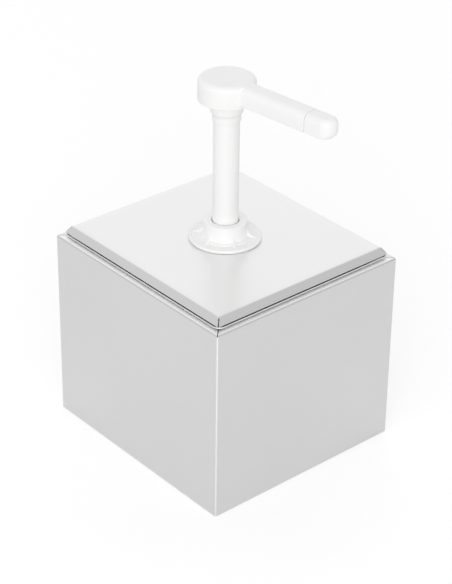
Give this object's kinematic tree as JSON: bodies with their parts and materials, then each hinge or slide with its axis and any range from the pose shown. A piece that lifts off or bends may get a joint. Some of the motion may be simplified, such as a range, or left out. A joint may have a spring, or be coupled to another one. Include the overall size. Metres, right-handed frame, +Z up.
{
  "type": "pump dispenser",
  "caption": "Countertop sauce dispenser: a square steel housing, a lift-out pan, a bevelled lid and a white plunger pump with a level swivelling spout.",
  "frame": {"origin": "middle of the housing's underside, on the surface that it stands on", "axes": "+Z up along the pump's stem, X across the housing's narrower side, Y along its deeper side; at rest the spout points to -Y, six degrees towards +X"},
  "size_m": [0.1706, 0.1914, 0.287],
  "materials": {
    "brushed_steel": "fine satin, brushed in one direction",
    "bright_steel": "polished spring wire and balls",
    "white_plastic": "moulded, satin",
    "milky_plastic": "extruded, milky",
    "white_rubber": "food-grade, matt"
  },
  "bodies": {
    "base": {"housing_shell": "brushed_steel", "base_plate": "brushed_steel"},
    "pan": {"food_pan": "brushed_steel"},
    "lid": {"lid": "brushed_steel", "lid_frame": "brushed_steel", "lid_gasket": "white_rubber", "lock_collar": "white_plastic", "stem_wiper": "white_rubber", "stem_bush": "white_plastic", "pump_barrel": "white_plastic", "foot_valve_body": "white_plastic", "foot_valve_seal": "white_rubber", "dip_tube": "milky_plastic", "inlet_ball_cage": "white_plastic", "return_spring": "bright_steel"},
    "inlet_ball": {"inlet_ball": "bright_steel"},
    "piston": {"piston": "white_plastic", "piston_seal": "white_rubber", "ball_retainer": "white_plastic"},
    "discharge_ball": {"discharge_ball": "bright_steel"},
    "head": {"plunger_stem": "white_plastic", "stem_o_ring": "white_rubber", "pump_head": "white_plastic", "spout_tip": "white_plastic"}
  },
  "joints": [
    {"name": "pan_lift", "type": "slide", "parent": "base", "child": "pan", "axis": [0, 0, 1], "range_m": [0, 0.155]},
    {"name": "lid_lift", "type": "slide", "parent": "pan", "child": "lid", "axis": [0, 0, 1], "range_m": [0, 0.15]},
    {"name": "inlet_ball_lift", "type": "slide", "parent": "lid", "child": "inlet_ball", "axis": [0, 0, 1], "range_m": [0, 0.0017]},
    {"name": "plunger_press", "type": "slide", "parent": "lid", "child": "piston", "axis": [0, 0, -1], "range_m": [0, 0.0618], "stiffness_N_per_m": 300, "springref_m": -0.02, "deforming": ["return_spring"]},
    {"name": "discharge_ball_lift", "type": "slide", "parent": "piston", "child": "discharge_ball", "axis": [0, 0, 1], "range_m": [0, 0.0017]},
    {"name": "head_swivel", "type": "hinge", "parent": "piston", "child": "head", "pos_m": [0, 0, 0.254], "axis": [0, 0, 1], "continuous": true}
  ]
}
